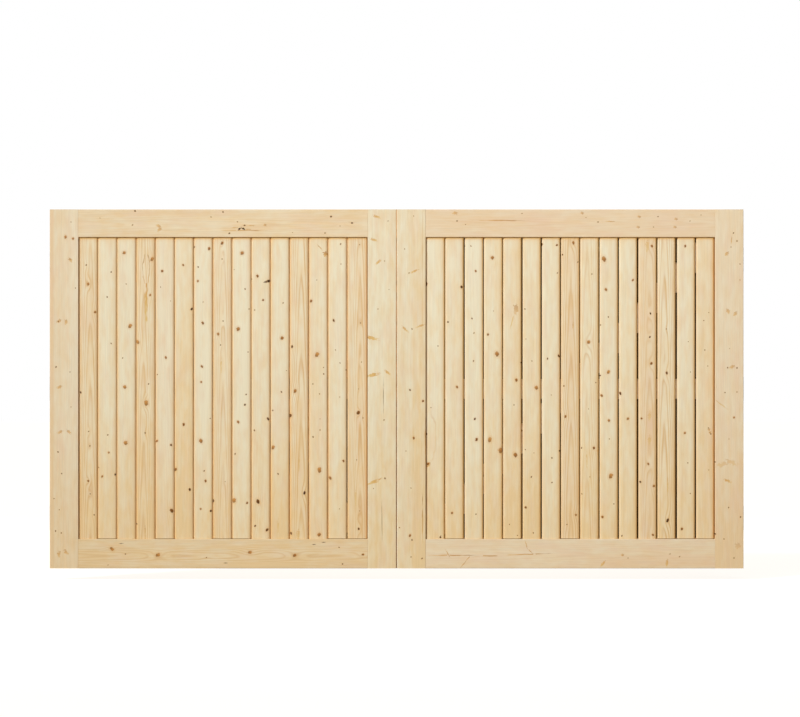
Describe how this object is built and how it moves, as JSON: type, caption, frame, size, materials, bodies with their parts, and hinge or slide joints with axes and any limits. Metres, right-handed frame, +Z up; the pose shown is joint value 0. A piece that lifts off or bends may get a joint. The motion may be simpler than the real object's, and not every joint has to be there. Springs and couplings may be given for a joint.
{
  "type": "pair of wooden driveway gate leaves",
  "caption": "Pair of framed softwood driveway gate leaves with close upright boards, a mid rail and diagonal braces behind, hung on butt hinges to swing inward.",
  "frame": {"origin": "middle of the lower left post flap, on the flat face that meets the left gate post", "axes": "+X along the gate from the left post to the right one, +Y away from the boarded front, +Z up"},
  "size_m": [3.491, 0.0566, 1.8],
  "materials": {
    "board_pine": "planed knotty softwood, bare",
    "frame_pine": "planed knotty softwood, bare",
    "hinge_steel": "zinc plated steel"
  },
  "bodies": {
    "post_hinges": {"left_post_flaps": "hinge_steel", "right_post_flaps": "hinge_steel"},
    "left_leaf": {"left_hanging_stile": "frame_pine", "left_meeting_stile": "frame_pine", "left_top_rail": "frame_pine", "left_bottom_rail": "frame_pine", "left_mid_rail": "frame_pine", "left_upper_brace": "frame_pine", "left_lower_brace": "frame_pine", "left_board_01": "board_pine", "left_board_02": "board_pine", "left_board_03": "board_pine", "left_board_04": "board_pine", "left_board_05": "board_pine", "left_board_06": "board_pine", "left_board_07": "board_pine", "left_board_08": "board_pine", "left_board_09": "board_pine", "left_board_10": "board_pine", "left_board_11": "board_pine", "left_board_12": "board_pine", "left_board_13": "board_pine", "left_board_14": "board_pine", "left_board_15": "board_pine", "left_gate_flaps": "hinge_steel"},
    "right_leaf": {"right_hanging_stile": "frame_pine", "right_meeting_stile": "frame_pine", "right_top_rail": "frame_pine", "right_bottom_rail": "frame_pine", "right_mid_rail": "frame_pine", "right_upper_brace": "frame_pine", "right_lower_brace": "frame_pine", "right_board_01": "board_pine", "right_board_02": "board_pine", "right_board_03": "board_pine", "right_board_04": "board_pine", "right_board_05": "board_pine", "right_board_06": "board_pine", "right_board_07": "board_pine", "right_board_08": "board_pine", "right_board_09": "board_pine", "right_board_10": "board_pine", "right_board_11": "board_pine", "right_board_12": "board_pine", "right_board_13": "board_pine", "right_board_14": "board_pine", "right_board_15": "board_pine", "right_gate_flaps": "hinge_steel"}
  },
  "joints": [
    {"name": "left_leaf_swing", "type": "hinge", "parent": "post_hinges", "child": "left_leaf", "pos_m": [0.0035, 0.0166, 0], "axis": [0, 0, 1], "range_deg": [0, 90]},
    {"name": "right_leaf_swing", "type": "hinge", "parent": "post_hinges", "child": "right_leaf", "pos_m": [3.4835, 0.0166, 0], "axis": [0, 0, -1], "range_deg": [0, 90]}
  ]
}
